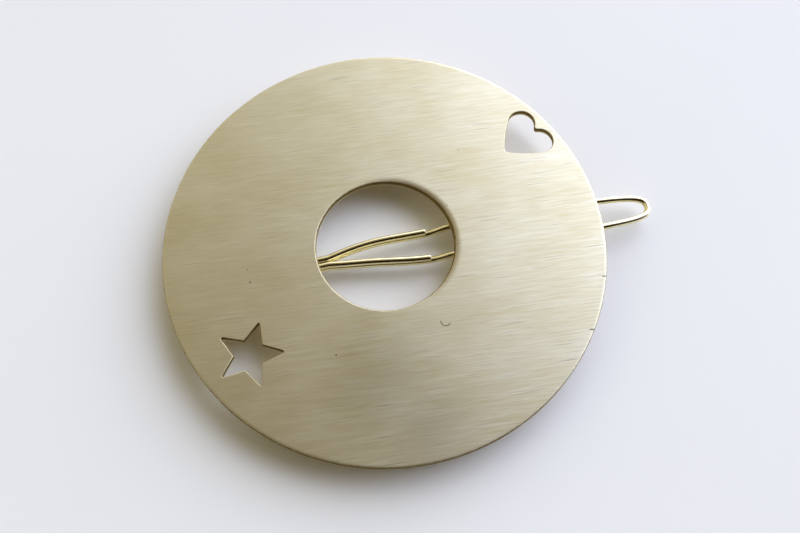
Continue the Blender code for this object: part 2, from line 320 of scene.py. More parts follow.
def hookMark(tree, face):
    x, y, radius = marks["hook"]
    away = addNode(tree, "VectorMath", {0: face, 1: (x, y, 0)}, operation="DISTANCE")
    offRing = addNode(tree, "Math", {0: away, 1: radius}, operation="SUBTRACT")
    offRing = addNode(tree, "Math", {0: offRing}, operation="ABSOLUTE")
    ring = addNode(tree, "MapRange", {"Value": offRing, "From Min": marks["hookWidth"],
                                      "From Max": marks["hookSolid"] * marks["hookWidth"]},
                   interpolation_type="SMOOTHSTEP")
    # only one side of the ring is scratched
    along = addNode(tree, "VectorMath", {0: face, 1: (*marks["hookSide"], 0)}, operation="DOT_PRODUCT")
    start = Vector(marks["hookSide"]).dot(Vector((x, y)))
    side = addNode(tree, "MapRange", {"Value": along, "From Min": start,
                                      "From Max": start + marks["hookFade"] * radius},
                   interpolation_type="SMOOTHSTEP")
    return addNode(tree, "Math", {0: ring, 1: side}, operation="MULTIPLY")


def darkMarks(tree):
    # 1 on the hook shaped scratch, the specks and the nicks, 0 elsewhere
    face = onFace(tree)
    specks = [spot(tree, face, (x, y), marks["solidShare"] * size, size, marks["speckTone"])
              for x, y, size in marks["specks"]]
    return strongest(tree, [hookMark(tree, face), *specks, nickMarks(tree)])


def wornSide(tree):
    # painted shade: 1 at the hole's edge on its rubbed side, fading over the face
    face = onFace(tree)
    near = spot(tree, face, (0, 0), disc["holeRadius"], disc["holeRadius"] + marks["wornWidth"])
    turn = math.radians(disc["wornAngle"])
    facing = addNode(tree, "VectorMath", {0: face, 1: (math.cos(turn), math.sin(turn), 0)},
                     operation="DOT_PRODUCT")
    side = addNode(tree, "MapRange", {"Value": facing,
                                      "From Max": marks["holeShadeSpread"] * disc["holeRadius"]},
                   interpolation_type="SMOOTHSTEP")
    return addNode(tree, "Math", {0: near, 1: side}, operation="MULTIPLY")


def stained(tree):
    # 1 in the middle of each soft dark patch, fading to its edge
    face = onFace(tree)
    return strongest(tree, [spot(tree, face, (x, y), 0, radius) for x, y, radius in marks["stains"]])


def makeBrushed(name, look, withMarks):
    material, tree = newMaterial(name)
    streak = brushing(tree, look["streakLength"], look["streakWidth"], detail=look["streakDetail"],
                      roughness=look["streakRoughness"])
    band = brushing(tree, look["bandLength"], look["bandWidth"])
    cloud = brushing(tree, look["cloudLength"], look["cloudWidth"], detail=look["cloudDetail"])
    along = addNode(tree, "SeparateXYZ", {0: inMillimetres(tree, discCentre)}).outputs["X"]
    reach = discRadius / mm
    strength = addNode(tree, "MapRange", {"Value": along, "From Min": -reach, "From Max": reach,
                                          "To Min": look["tailSide"], "To Max": look["tipSide"]})
    tone = sway(tree, sway(tree, 0.0, streak, look["streakTone"]), band, look["bandTone"])
    tone = addNode(tree, "Math", {0: tone, 1: strength, 2: 0.5}, operation="MULTIPLY_ADD")
    tone = sway(tree, tone, cloud, look["cloudTone"])
    colour = twoTone(tree, look, tone)

    scratch = brushing(tree, look["scratchLength"], look["scratchWidth"], look["scratchScale"],
                       look["scratchDetail"])
    scratch = addNode(tree, "MapRange", {"Value": scratch, "From Min": look["scratchFrom"],
                                         "From Max": look["scratchTo"]}, interpolation_type="SMOOTHSTEP")
    low, high = look["scratchBands"]
    gathered = addNode(tree, "MapRange", {"Value": band, "From Min": low, "From Max": high})
    scratch = addNode(tree, "Math", {0: scratch, 1: gathered}, operation="MULTIPLY")
    scratch = addNode(tree, "Math", {0: scratch, 1: strength}, operation="MULTIPLY")
    colour = tinted(tree, colour, scratch, look["scratchTone"], look["scratchColour"])
    heights = [(streak, look["streakDepth"]), (band, look["bandDepth"])]
    if withMarks:
        mark = darkMarks(tree)
        heights.append((mark, -marks["depth"]))
        # painted shade browns the face beside the hole, where its rubbed edge rolls off
        colour = tinted(tree, colour, wornSide(tree), marks["wornTone"], marks["holeShadeColour"])
        colour = tinted(tree, colour, stained(tree), marks["stainTone"], marks["stainColour"])
        colour = tinted(tree, colour, mark, marks["tone"], marks["colour"])
    roughness = sway(tree, look["roughness"], band, look["roughnessSpread"])
    tangent = addNode(tree, "Tangent", direction_type="UV_MAP", uv_map=grain["uv"])
    finishMetal(tree, colour, roughness, relief(tree, *heights), {
        "Tangent": tangent, "Anisotropic": look["anisotropic"], "Coat Weight": look["coat"],
        "Coat Roughness": look["coatRoughness"]})
    return material


# the same brass on its edges, rounded over by tumbling. Painted shade darkens the cut walls olive brown
# below the face, for the shaded floor that they reflect; inside the holes a painted reflection of the pale
# floor lightens them towards the back
tumbledEdge = {
    "light": "#CDC298",
    "dark": "#B9AB7B",
    "wall": "#7E6A3A",
    "torn": "#D8CC9C",
    "wallShadeFrom": 0.02,          # mm below the face, where the walls' painted shade starts, and where it is full
    "wallShadeTo": 0.10,
    "floorReflectionFrom": 0.55,
    "floorReflectionTo": 0.80,
    "floorReflectionMargin": 0.9,         # mm from the rim; the painted floor reflection fades out between there and the rim's wall
    "floorReflectionFade": 0.2,
    "wander": 0.2,             # mm that these tones' borders go up and down by
    "grain": 0.5,              # mm, of the faint mottling
    "grainDetail": 3,          # octaves
    "roughness": 0.68,
    "roughnessSpread": 0.1,
    "depth": 0.002,
}


def makeTumbled(name, look):
    material, tree = newMaterial(name)
    coords = inMillimetres(tree, discCentre)
    mottle = addNode(tree, "TexNoise", {"Vector": coords, "Scale": 1 / look["grain"],
                                       "Detail": look["grainDetail"]})
    level = sway(tree, addNode(tree, "SeparateXYZ", {0: coords}).outputs["Z"], mottle, -look["wander"])
    # painted shade: the walls darken below the face, standing in for the shaded floor that they reflect
    wall = addNode(tree, "MapRange", {"Value": level, "From Min": -look["wallShadeFrom"],
                                      "From Max": -look["wallShadeTo"]})
    # painted reflection: the lower part of the walls inside the holes lightens, for the pale floor seen
    # through them
    torn = addNode(tree, "MapRange", {"Value": level, "From Min": -look["floorReflectionFrom"],
                                      "From Max": -look["floorReflectionTo"]})
    inner = discRadius / mm - look["floorReflectionMargin"]
    inside = spot(tree, onFace(tree), (0, 0), inner, inner + look["floorReflectionFade"])
    nick = nickMarks(tree)
    colour = tinted(tree, twoTone(tree, look, mottle), wall, 1.0, look["wall"])
    colour = tinted(tree, colour, torn, inside, look["torn"])
    colour = tinted(tree, colour, nick, marks["tone"], marks["edgeColour"])
    roughness = sway(tree, look["roughness"], mottle, look["roughnessSpread"])
    finishMetal(tree, colour, roughness, relief(tree, (mottle, look["depth"]), (nick, -marks["edgeDepth"])))
    return material


# disc

disc = {
    "holeRadius": 9.4,         # mm
    "rimRounding": 0.15,
    "rimRollWidth": 0.5,       # the face rolls off to the rim, where it was tumbled
    "rimRollDepth": 0.028,
    "rimRings": 5,
    "holeRounding": 0.18,      # at the front; the back's is smaller
    "holeBackRounding": 0.15,
    "cutoutRounding": 0.10,
    "roundingSegments": 6,
    "rimSegments": 360,
    "holeSegments": 180,
    "flatMargin": 0.05,        # a narrow flat ring inside each rounded edge keeps the faces' shading flat
    "wornWidth": 1.1,          # the face rolls off into the hole on one side, where it was rubbed
    "wornDepth": 0.17,
    "rollPower": 2.5,
    "wornAngle": 15.0,         # degrees round the disc from the clip, of the middle of that side
    "wornRings": 9,
    "largeFace": 100,          # mm², which only the halves of the face and of the back exceed
    "wallSlope": 0.5,          # upward share of its normal, below which a face is a wall
    "backSlope": 0.9999,       # and above which a face that looks down is the flat back
    "brushedSlope": 0.97,      # and above which the face's brushing still shows
    "brushedReach": 0.3,       # share of the thickness that it can roll down by
    "sharpAngle": 40,          # degrees; a sharper corner isn't shaded smooth
}

heart = {
    "angle": 29.3,             # degrees round the disc from the clip
    "rimMargin": 1.0,          # mm
    "length": 6.7,
    "lobeRadius": 1.9,
    "lobeSpacing": 3.78,
    "sideRadius": 20.0,
    "pointRadius": 0.6,
    "notchRadius": 0.4,
    "arcStep": 5,              # degrees
    "leastSteps": 4,
    "sideSteps": 4,            # times as many steps on its long sides
}

star = {
    "angle": 210.7,
    "rimMargin": 1.95,
    "pointReach": 4.72,
    "notchReach": 2.08,
    "tipRadius": 0.23,
    "points": 5,
    "tipSegments": 6,
}


def bearing(centre, point):
    return math.atan2(point.y - centre.y, point.x - centre.x)


def wayAt(angle):
    return Vector((math.cos(angle), math.sin(angle), 0))


def walkLoop(start):
    # the vertices of a closed outline in order, anticlockwise
    loop = [start, start.link_edges[0].other_vert(start)]
    while True:
        nextOnes = [e.other_vert(loop[-1]) for e in loop[-1].link_edges]
        onward = next(v for v in nextOnes if v is not loop[-2])
        if onward is start:
            break
        loop.append(onward)
    area = sum(a.co.x * b.co.y - b.co.x * a.co.y for a, b in zip(loop, loop[1:] + loop[:1]))
    return loop if area > 0 else loop[::-1]


def circleOutline(bm, radius, segments):
    made = bmesh.ops.create_circle(bm, segments=segments, radius=radius)
    return walkLoop(made["verts"][0])


def heartArcs():
    # half of the outline as arcs from the point round to the notch: centre, first bearing and last one
    half = heart["lobeSpacing"] * mm / 2
    lobeRadius = heart["lobeRadius"] * mm
    pointRadius = heart["pointRadius"] * mm
    sideRadius = heart["sideRadius"] * mm
    notchRadius = heart["notchRadius"] * mm
    reach = discRadius - heart["rimMargin"] * mm - lobeRadius
    lobe = Vector((math.sqrt(reach ** 2 - half ** 2), half, 0))
    point = Vector((lobe.x + lobeRadius - heart["length"] * mm + pointRadius, 0, 0))
    notch = Vector((lobe.x + math.sqrt((lobeRadius + notchRadius) ** 2 - half ** 2), 0, 0))
    # the side's arc touches the point's and the lobe's from outside
    way = lobe - point
    toPoint, toLobe = sideRadius - pointRadius, sideRadius - lobeRadius
    onward = (way.length ** 2 + toPoint ** 2 - toLobe ** 2) / 2 / way.length
    across = math.sqrt(toPoint ** 2 - onward ** 2)
    forward = way.normalized()
    side = point + forward * onward + Vector((forward.y, -forward.x, 0)) * across
    return ((point, math.pi, bearing(side, point)),
            (side, bearing(side, point), bearing(side, lobe)),
            (lobe, bearing(side, lobe), bearing(lobe, notch)),
            (notch, bearing(lobe, notch) + math.pi, math.pi))


def heartOutline(bm):
    # half of the outline is spun arc by arc, and then mirrored
    arcs = heartArcs()
    side = arcs[1][0]
    vert = bm.verts.new(arcs[0][0] - Vector((heart["pointRadius"] * mm, 0, 0)))
    made = [vert]
    for centre, start, end in arcs:
        steps = max(heart["leastSteps"], math.ceil(abs(math.degrees(end - start)) / heart["arcStep"]))
        if centre is side:
            steps *= heart["sideSteps"]
        known = set(bm.verts)
        spun = bmesh.ops.spin(bm, geom=[vert], cent=centre, axis=(0, 0, 1), angle=end - start, steps=steps)
        made += [v for v in bm.verts if v not in known]
        vert = next(v for v in spun["geom_last"] if isinstance(v, bmesh.types.BMVert))
    edges = edgesOf(made)
    mirrored = bmesh.ops.mirror(bm, geom=made + edges, matrix=Matrix.Identity(4), merge_dist=mergeDistance,
                                axis="Y")["geom"]
    verts = [v for e in edges if e.is_valid for v in e.verts]
    verts += [v for v in mirrored if isinstance(v, bmesh.types.BMVert) and v.is_valid]
    outline = walkLoop(verts[0])
    bmesh.ops.rotate(bm, verts=outline, matrix=Matrix.Rotation(math.radians(heart["angle"]), 3, "Z"))
    return outline


def starOutline(bm):
    # a ring of ten corners, every other one drawn in, then the five points rounded
    made = bmesh.ops.create_circle(bm, cap_ends=True, segments=2 * star["points"],
                                   radius=star["pointReach"] * mm)
    verts = made["verts"]
    bmesh.ops.rotate(bm, verts=verts, matrix=Matrix.Rotation(-bearing(Vector(), verts[0].co), 3, "Z"))
    notches, tips = [], []
    for v in verts:
        turn = round(bearing(Vector(), v.co) / math.pi * star["points"])
        (notches if turn % 2 else tips).append(v)
    bmesh.ops.scale(bm, verts=notches, vec=(star["notchReach"] / star["pointReach"],) * 3)
    toNotch = notches[0].co - tips[0].co
    toOther = min((n.co - tips[0].co for n in notches[1:]), key=lambda way: way.length)
    halfAngle = toNotch.angle(toOther) / 2
    run = star["tipRadius"] * mm / math.tan(halfAngle)
    known = set(bm.verts)
    bmesh.ops.bevel(bm, geom=tips, offset=run, affect="VERTICES", segments=star["tipSegments"], profile=0.5,
                    material=-1)
    ring = [v for v in bm.verts if v not in known] + notches
    bmesh.ops.delete(bm, geom=[ring[0].link_faces[0]], context="FACES_ONLY")
    centre = discRadius - (star["rimMargin"] + star["pointReach"]) * mm
    bmesh.ops.translate(bm, verts=ring, vec=(centre, 0, 0))
    bmesh.ops.rotate(bm, verts=ring, matrix=Matrix.Rotation(math.radians(star["angle"]), 3, "Z"))
    return walkLoop(ring[0])


def along(loop, start, end, step):
    # the outline's vertices from one to another, both included
    i = loop.index(start)
    found = [start]
    while found[-1] is not end:
        i = (i + step) % len(loop)
        found.append(loop[i])
    return found


def atAngle(loop, angle):
    way = wayAt(angle)
    return max(loop, key=lambda v: v.co.dot(way))


def onLine(loop, angle):
    # the outline's two vertices on a line out of the disc's middle, the inner one first
    way = wayAt(angle)
    nearest = sorted(loop, key=lambda v: abs(v.co.cross(way).z))[:2]
    return sorted(nearest, key=lambda v: v.co.dot(way))


def fillPlate(bm, rim, hole):
    # the plate is filled as two halves, parted along a line through the heart, the hole and the star
    heartLoop = heartOutline(bm)
    starLoop = starOutline(bm)
    heartWay, starWay = math.radians(heart["angle"]), math.radians(star["angle"])
    heartInner, heartOuter = onLine(heartLoop, heartWay)
    starInner, starOuter = onLine(starLoop, starWay)
    rimHeart, rimStar = atAngle(rim, heartWay), atAngle(rim, starWay)
    holeHeart, holeStar = atAngle(hole, heartWay), atAngle(hole, starWay)
    upper = (along(rim, rimHeart, rimStar, 1) + along(starLoop, starOuter, starInner, -1)
             + along(hole, holeStar, holeHeart, -1) + along(heartLoop, heartInner, heartOuter, -1))
    lower = (along(rim, rimStar, rimHeart, 1) + along(heartLoop, heartOuter, heartInner, -1)
             + along(hole, holeHeart, holeStar, -1) + along(starLoop, starInner, starOuter, -1))
    return [bm.faces.new(upper), bm.faces.new(lower)]


def edgeBand(bm, radius, flat, frontRounding, backRounding, segments, rings):
    # the rounded edge of the rim or the hole, as a profile spun round from the flat front to the flat back
    out = 1 if radius > flat else -1
    corner = flat + out * max(0, abs(radius - flat) - frontRounding)
    profile = [Vector((flat + (corner - flat) * i / rings, 0, 0)) for i in range(rings)]
    for i in range(disc["roundingSegments"] + 1):
        turn = math.pi / 2 * i / disc["roundingSegments"]
        profile.append(Vector((radius - out * frontRounding * (1 - math.sin(turn)), 0,
                               -frontRounding * (1 - math.cos(turn)))))
    for i in range(disc["roundingSegments"] + 1):
        turn = math.pi / 2 * i / disc["roundingSegments"]
        profile.append(Vector((radius - out * backRounding * (1 - math.cos(turn)), 0,
                               -discThickness + backRounding * (1 - math.sin(turn)))))
    profile.append(Vector((flat, 0, -discThickness)))
    verts = [bm.verts.new(p) for p in profile]
    edges = [bm.edges.new(pair) for pair in zip(verts, verts[1:])]
    known = set(bm.verts) - set(verts)
    bmesh.ops.spin(bm, geom=verts + edges, cent=(0, 0, 0), axis=(0, 0, 1), angle=2 * math.pi,
                   steps=segments, use_merge=True)
    return [v for v in bm.verts if v not in known]


def rollOff(verts, radius, width, depth, middle=None):
    # the face's edge is rubbed down, deepest at this radius and fading over the width; with a middle,
    # only on the side that lies that way
    for v in verts:
        onto = 1 - abs(v.co.xy.length - radius) / width
        side = 1 if middle is None else math.cos(math.atan2(v.co.y, v.co.x) - middle)
        height = 1 + v.co.z / discThickness
        if onto > 0 and side > 0:
            v.co.z -= depth * min(1, onto) ** disc["rollPower"] * side * height


def roundCutouts(bm):
    cutEdges = []
    for e in bm.edges:
        tilts = sorted(abs(f.normal.z) for f in e.link_faces)
        if len(tilts) == 2 and tilts[0] < disc["wallSlope"] < tilts[1]:
            cutEdges.append(e)
    bmesh.ops.bevel(bm, geom=cutEdges, offset=disc["cutoutRounding"] * mm, offset_type="OFFSET",
                    affect="EDGES", segments=disc["roundingSegments"], profile=0.5, clamp_overlap=False,
                    material=-1)


def finishFaces(bm):
    # which faces are brushed front, tumbled edge and back, and the grain's direction as a UV map
    uv = bm.loops.layers.uv.new(grain["uv"])
    lengthwise = wayAt(grain["angle"]).xy
    across = Vector((-lengthwise.y, lengthwise.x))
    for face in bm.faces:
        level = face.normal.z > disc["brushedSlope"]
        front = level and face.calc_center_median().z > -disc["brushedReach"] * discThickness
        face.material_index = 0 if front else 2 if face.normal.z < -disc["backSlope"] else 1
        for loop in face.loops:
            place = loop.vert.co.xy
            loop[uv].uv = (place.dot(across) / discRadius, place.dot(lengthwise) / discRadius)


def buildDisc():
    bm = bmesh.new()
    margin = disc["flatMargin"] * mm
    holeRadius = disc["holeRadius"] * mm
    flatOuter = discRadius - disc["rimRollWidth"] * mm - margin
    flatInner = holeRadius + disc["wornWidth"] * mm + margin
    rim = circleOutline(bm, flatOuter, disc["rimSegments"])
    hole = circleOutline(bm, flatInner, disc["holeSegments"])
    back = bmesh.ops.extrude_face_region(bm, geom=fillPlate(bm, rim, hole))
    bmesh.ops.translate(bm, verts=[v for v in back["geom"] if isinstance(v, bmesh.types.BMVert)],
                        vec=(0, 0, -discThickness))
    bmesh.ops.recalc_face_normals(bm, faces=bm.faces)

    # the walls of the rim and the hole give way to their rounded bands
    walls = []
    for f in bm.faces:
        away = [min(abs(v.co.xy.length - flatOuter), abs(v.co.xy.length - flatInner)) for v in f.verts]
        if abs(f.normal.z) < disc["wallSlope"] and max(away) < mergeDistance:
            walls.append(f)
    bmesh.ops.delete(bm, geom=walls, context="FACES")
    roundCutouts(bm)
    rounding = disc["rimRounding"] * mm
    rimVerts = edgeBand(bm, discRadius, flatOuter, rounding, rounding, disc["rimSegments"],
                        disc["rimRings"])
    rollOff(rimVerts, discRadius, disc["rimRollWidth"] * mm, disc["rimRollDepth"] * mm)
    holeVerts = edgeBand(bm, holeRadius, flatInner, disc["holeRounding"] * mm,
                         disc["holeBackRounding"] * mm, disc["holeSegments"], disc["wornRings"])
    rollOff(holeVerts, holeRadius, disc["wornWidth"] * mm, disc["wornDepth"] * mm,
            math.radians(disc["wornAngle"]))
    bmesh.ops.remove_doubles(bm, verts=bm.verts, dist=mergeDistance)
    bmesh.ops.recalc_face_normals(bm, faces=bm.faces)

    plates = [f for f in bm.faces if f.calc_area() > disc["largeFace"] * mm * mm]
    for side in (1, -1):
        bmesh.ops.inset_region(bm, faces=[f for f in plates if f.normal.z * side > 0], thickness=margin,
                               use_boundary=True, use_even_offset=True)
    finishFaces(bm)
    bmesh.ops.translate(bm, verts=bm.verts, vec=discCentre)
    piece = makePiece("brass_disc", bm, [makeBrushed("brushed sheet brass, lacquered", brushedFace, True),
                                         makeTumbled("tumbled brass edge", tumbledEdge),
                                         makeBrushed("brushed sheet brass, back", brushedBack, False)],
                      disc["sharpAngle"])
    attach(piece, "disc_body")
    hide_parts("disc")


# clip

clip = {
    "offset": -0.5,            # mm from the disc's middle, towards the near side
    "clearance": 0.05,
    "tailInset": 7.5,
    "tipReach": 7.65,
    "eyeRadius": 1.0,
    "pairedLength": 14.5,
    "upperLength": 28.4,
    "widestLength": 35.5,
    "widestSpacing": 4.15,
    "sideBow": 0.36,
    "sideBowLength": 16.5,
    "closingLength": 9.0,
    "riseLength": 3.4,
    "tipBendLength": 7.0,
    "tipDrop": 0.3,
    "spreadShares": (0.03, 0.73),      # of the spread's length, the handles of its curve
    "tipShares": (0.91, 0.96),         # of the loop's length and of its half width
    "bendReach": 1.0,          # how far the flexing bend runs on past the eye's middle
    "step": 0.25,              # mm between the rings of the wire
    "pairedPoints": 200,       # close points along each stretch, which the rings are then spaced along
    "spreadPoints": 600,
    "tipPoints": 800,
    "bendPoints": 8,
    "eyePoints": 60,
    "sides": 24,
    "cutRounding": 0.07,       # mm, the burr taken off the cut ends
    "cutSegments": 3,
    "sharpAngle": 40,          # degrees
}


def clipStations():
    # stations along the clip and heights below the disc's face, in metres
    s = {key: value * mm for key, value in clip.items() if not isinstance(value, tuple)}
    s["tail"] = s["tailInset"] - discRadius
    s["tip"] = discRadius + s["tipReach"]
    s["eye"] = s["tail"] + wireRadius + s["eyeRadius"]
    s["spread"] = s["tail"] + s["pairedLength"]
    s["upperEnd"] = s["tail"] + s["upperLength"]
    s["widest"] = s["tail"] + s["widestLength"]
    s["tipBend"] = s["tip"] - s["tipBendLength"]
    s["upperZ"] = -discThickness - s["clearance"] - wireRadius
    s["lowerZ"] = s["upperZ"] - 2 * wireRadius - s["clearance"]
    s["eyeZ"] = s["upperZ"] - s["eyeRadius"]
    s["eyeBottomZ"] = s["eyeZ"] - s["eyeRadius"]
    s["pairedHalf"] = wireRadius + s["clearance"] / 2
    s["widestHalf"] = s["widestSpacing"] / 2
    return s


station = clipStations()


def eased(start, length, x):
    # 0 before the start and 1 past the length, with a smooth run between
    share = min(1, max(0, (x - start) / length))
    return share * share * (3 - 2 * share)


def curvePoints(start, first, last, end, count):
    # points along a curve between its start and end, shaped by its two handles, without the end
    points = []
    for i in range(count):
        t = i / count
        u = 1 - t
        points.append(start * u ** 3 + first * 3 * t * u * u + last * 3 * t * t * u + end * t ** 3)
    return points


def sideBow(x):
    share = min(1, max(0, (x - station["upperEnd"]) / station["sideBowLength"] + 1))
    return station["sideBow"] * math.sin(math.pi * share) ** 2


def armHeight(x):
    closed = eased(station["eye"], station["closingLength"], x)
    risen = eased(station["upperEnd"], station["riseLength"], x)
    dropped = eased(station["tipBend"], station["tipBendLength"], x)
    height = station["eyeBottomZ"] + (station["lowerZ"] - station["eyeBottomZ"]) * closed
    return height + (station["upperZ"] - station["lowerZ"]) * risen - station["tipDrop"] * dropped


def planHalf():
    # the far leg in plan, from the eye out to the tip, as close points
    start = Vector((station["spread"], station["pairedHalf"]))
    end = Vector((station["widest"], station["widestHalf"]))
    tip = Vector((station["tip"] - wireRadius, 0))
    run = station["spread"] - station["eye"]
    points = [Vector((station["eye"] + run * i / clip["pairedPoints"], start.y))
              for i in range(clip["pairedPoints"])]
    length = station["widest"] - station["spread"]
    first = start + Vector((clip["spreadShares"][0] * length, 0))
    last = end - Vector((clip["spreadShares"][1] * length, 0))
    points += curvePoints(start, first, last, end, clip["spreadPoints"])
    first = end + Vector((clip["tipShares"][0] * (tip.x - end.x), 0))
    last = tip + Vector((0, clip["tipShares"][1] * end.y))
    points += curvePoints(end, first, last, tip, clip["tipPoints"])
    return points + [tip]


def evenly(points, step):
    # the same line with its points this far apart
    lengths = [0]
    for a, b in zip(points, points[1:]):
        lengths.append(lengths[-1] + (b - a).length)
    count = max(1, round(lengths[-1] / step))
    out, i = [], 0
    for k in range(count + 1):
        wanted = lengths[-1] * k / count
        while i < len(points) - 2 and lengths[i + 1] < wanted:
            i += 1
        span = lengths[i + 1] - lengths[i]
        share = (wanted - lengths[i]) / span if span else 0
        out.append(points[i].lerp(points[i + 1], share))
    return out


def wireStretches():
    # the whole wire as lines of points: upper leg, bend and loop, bend and upper leg, each starting
    # where the last one ends
    half = planHalf()
    eye, eyeRadius = station["eye"], station["eyeRadius"]
    cut = eye + station["bendReach"]

    def upper(side):
        leg = [p for p in half if cut <= p.x <= station["upperEnd"]]
        leg = [Vector((cut, station["pairedHalf"]))] + leg
        return [Vector((p.x, side * p.y + sideBow(p.x), station["upperZ"])) for p in leg][::-1]

    def bend(side):
        y = side * station["pairedHalf"]
        count, rounds = clip["bendPoints"], clip["eyePoints"]
        line = [Vector((cut + (eye - cut) * i / count, y, station["upperZ"])) for i in range(count + 1)]
        for i in range(1, rounds + 1):
            turn = math.pi * i / rounds
            line.append(Vector((eye - eyeRadius * math.sin(turn), y,
                                station["eyeZ"] + eyeRadius * math.cos(turn))))
        for i in range(1, count + 1):
            x = eye + (cut - eye) * i / count
            line.append(Vector((x, y, armHeight(x))))
        return line

    run = [Vector((cut, station["pairedHalf"]))] + [p for p in half if p.x > cut]
    run = run + [Vector((p.x, -p.y)) for p in run[-2::-1]]
    loop = [Vector((p.x, p.y + sideBow(p.x), armHeight(p.x))) for p in run]
    return [upper(1), bend(1), loop, bend(-1)[::-1], upper(-1)[::-1]]


def wireFrames(stretches):
    # a ring's place for each point of the wire, turned as little as possible from one to the next
    lines = [evenly(stretch, clip["step"] * mm) for stretch in stretches]
    points = lines[0][:]
    bounds = [(0, len(points) - 1)]
    for line in lines[1:]:
        bounds.append((len(points) - 1, len(points) + len(line) - 2))
        points += line[1:]
    tangents = [(b - a).normalized() for a, b in zip([points[0]] + points[:-1], points[1:] + [points[-1]])]
    turn = tangents[0].to_track_quat("Z", "Y")
    shift = discCentre + Vector((0, station["offset"], 0))
    frames, lengths, total = [], [], 0
    for i, (point, tangent) in enumerate(zip(points, tangents)):
        if i:
            turn = tangents[i - 1].rotation_difference(tangent) @ turn
            total += (point - points[i - 1]).length
        frames.append(Matrix.Translation(shift + point) @ turn.to_matrix().to_4x4())
        lengths.append(total)
    return frames, lengths, bounds


def buildWire(name, frames, lengths, material, cutStart=False, cutEnd=False):
    bm = bmesh.new()
    layer = bm.verts.layers.float_vector.new("drawn")
    ring = bmesh.ops.create_circle(bm, segments=clip["sides"], radius=wireRadius)["verts"]
    for v in ring:
        v[layer] = (v.co.x / mm, v.co.y / mm, lengths[0] / mm)
    bmesh.ops.transform(bm, matrix=frames[0], verts=ring)
    first = edgesOf(ring)
    edges = first
    for before, after, length in zip(frames, frames[1:], lengths[1:]):
        made = bmesh.ops.extrude_edge_only(bm, edges=edges)["geom"]
        ring = [g for g in made if isinstance(g, bmesh.types.BMVert)]
        edges = [g for g in made if isinstance(g, bmesh.types.BMEdge) and all(v in ring for v in g.verts)]
        for v in ring:
            v[layer].z = length / mm
        bmesh.ops.transform(bm, matrix=after @ before.inverted(), verts=ring)
    for closing, trimmed in ((first, cutStart), (edges, cutEnd)):
        bmesh.ops.contextual_create(bm, geom=closing)
        if trimmed:
            bmesh.ops.bevel(bm, geom=closing, offset=clip["cutRounding"] * mm, affect="EDGES",
                            segments=clip["cutSegments"], profile=0.5, material=-1)
    bmesh.ops.recalc_face_normals(bm, faces=bm.faces)
    piece = makePiece(name, bm, [material], clip["sharpAngle"])
    return piece


# spring steel wire, drawn and then gold plated: bright mirror highlights, with hairlines along the wire
# from the drawing die and a slightly uneven plating
giltWire = {
    "light": "#F4EBC0",
    "dark": "#E5D7A0",
    "patchScale": 0.7,         # patches of the plating per mm
    "patchDetail": 3,          # octaves
    "lineWidth": 0.09,         # mm; real die lines are 0.01 mm wide, drawn as coarse as they need to show
    "lineLength": 12.0,
    "lineRange": (0.2, 0.8),
    "roughness": (0.16, 0.25),      # at the two ends of that range
    "depth": 0.0002,
}


def makeGilt(name, look):
    material, tree = newMaterial(name)
    drawn = addNode(tree, "Attribute", attribute_name="drawn").outputs["Vector"]
    perWidth, perLength = 1 / look["lineWidth"], 1 / look["lineLength"]
    lines = addNode(tree, "Mapping", {"Vector": drawn, "Scale": (perWidth, perWidth, perLength)})
    line = addNode(tree, "TexNoise", {"Vector": lines, "Scale": 1.0})
    patch = addNode(tree, "TexNoise", {"Vector": drawn, "Scale": look["patchScale"],
                                       "Detail": look["patchDetail"]})
    low, high = look["lineRange"]
    smooth, rough = look["roughness"]
    roughness = addNode(tree, "MapRange", {"Value": line, "From Min": low, "From Max": high,
                                           "To Min": smooth, "To Max": rough})
    finishMetal(tree, twoTone(tree, look, patch), roughness, relief(tree, (line, look["depth"])))
    return material


def buildClip():
    gilt = makeGilt("gold plated spring wire", giltWire)
    frames, lengths, bounds = wireFrames(wireStretches())
    names = ("upper_wire_far", "tail_bend_far", "spring_loop", "tail_bend_near", "upper_wire_near")
    wires = {}
    for name, (a, b) in zip(names, bounds):
        wires[name] = buildWire(name, frames[a:b + 1], lengths[a:b + 1], gilt, cutStart=name == names[0],
                                cutEnd=name == names[-1])
    for side in ("far", "near"):
        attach(wires["upper_wire_" + side], "disc_body")
        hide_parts("upper_leg_" + side)
        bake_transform(wires["tail_bend_" + side])
        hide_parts("tail_eye_" + side)
    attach(wires["spring_loop"], "spring_arm")
    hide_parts("spring_arm")


# solder

solder = {
    "width": 0.9,              # mm, of the fillet's foot
    "tailMargin": 1.6,
    "holeMargin": 0.9,
    "endShare": 0.12,          # how wide the fillet's ends are
    "endTaper": 0.02,          # share of the length that the swell leaves out at each end
    "swellPower": 0.45,
    "climb": 0.12,             # share of the wire's radius that it climbs past the wire's middle
    "wallOverlap": 0.02,       # share of the wire's radius that its wall lies inside the wire
    "hollowSteps": 8,
    "step": 0.12,
    "ripple": 0.22,            # share of the width that the edge wanders by
    "ripplePitch": 1.3,        # mm
    "rippleShift": 7,          # sets the two fillets' ripples apart
    "sharpAngle": 50,          # degrees
}

# silver solder, flowed with a torch and pickled: pale yellowish grey, satin, with a soft rippled skin
flowedSolder = {
    "light": "#D9D2B8",
    "dark": "#A99F80",
    "stain": 2.0,              # mm, of the uneven tone
    "stainDetail": 3,          # octaves
    "stainRange": (0.35, 0.65),
    "skin": 0.5,               # mm, of the ripples
    "skinDetail": 4,
    "skinRange": (0.3, 0.7),
    "roughness": (0.26, 0.44),
    "depth": 0.012,
}


